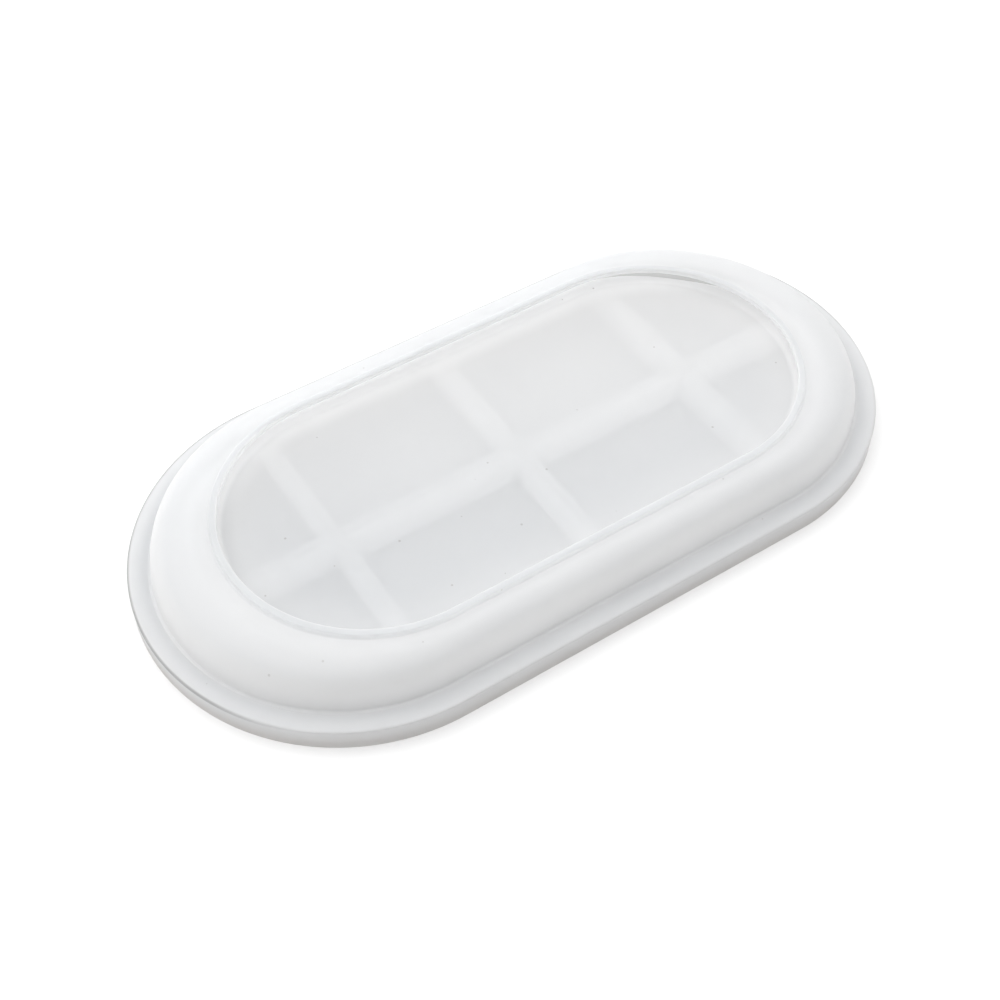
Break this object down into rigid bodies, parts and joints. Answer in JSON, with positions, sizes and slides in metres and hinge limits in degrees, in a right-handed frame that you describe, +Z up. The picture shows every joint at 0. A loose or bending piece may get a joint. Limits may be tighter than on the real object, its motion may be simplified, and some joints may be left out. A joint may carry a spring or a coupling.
{
  "type": "resin casting mould",
  "caption": "Flexible silicone mould for casting a long oval tray upside down, with an overhanging skin, a pour opening and a ribbed core.",
  "frame": {"origin": "on the table, at the centre of the mould's outline", "axes": "+X along the length, +Y across the width, +Z up through the pour opening"},
  "size_m": [0.19, 0.0988, 0.016],
  "materials": {
    "skin": "satin translucent silicone, milky white",
    "core": "satin translucent silicone, milky white, faintly blue-grey where thin",
    "ribs": "satin translucent silicone, milky white"
  },
  "bodies": {
    "mould": {"core_plate": "core", "core_wall": "core", "cross_rib_left_back": "ribs", "cross_rib_left_front": "ribs", "cross_rib_middle_back": "ribs", "cross_rib_middle_front": "ribs", "cross_rib_right_back": "ribs", "cross_rib_right_front": "ribs", "flange": "skin", "lip_left": "skin", "lip_right": "skin", "long_rib": "ribs", "outer_wall": "skin", "rim_floor": "skin", "shoulder_left": "skin", "shoulder_right": "skin"},
    "front_skin": {"shoulder_front": "skin", "lip_front": "skin"},
    "back_skin": {"shoulder_back": "skin", "lip_back": "skin"}
  },
  "joints": [
    {"name": "front_peel", "type": "hinge", "parent": "mould", "child": "front_skin", "pos_m": [0, -0.04385, 0.0056], "axis": [1, 0, 0], "range_deg": [0, 70], "stiffness_Nm_per_rad": 0.006},
    {"name": "back_peel", "type": "hinge", "parent": "mould", "child": "back_skin", "pos_m": [0, 0.04385, 0.0056], "axis": [-1, 0, 0], "range_deg": [0, 70], "stiffness_Nm_per_rad": 0.006}
  ]
}
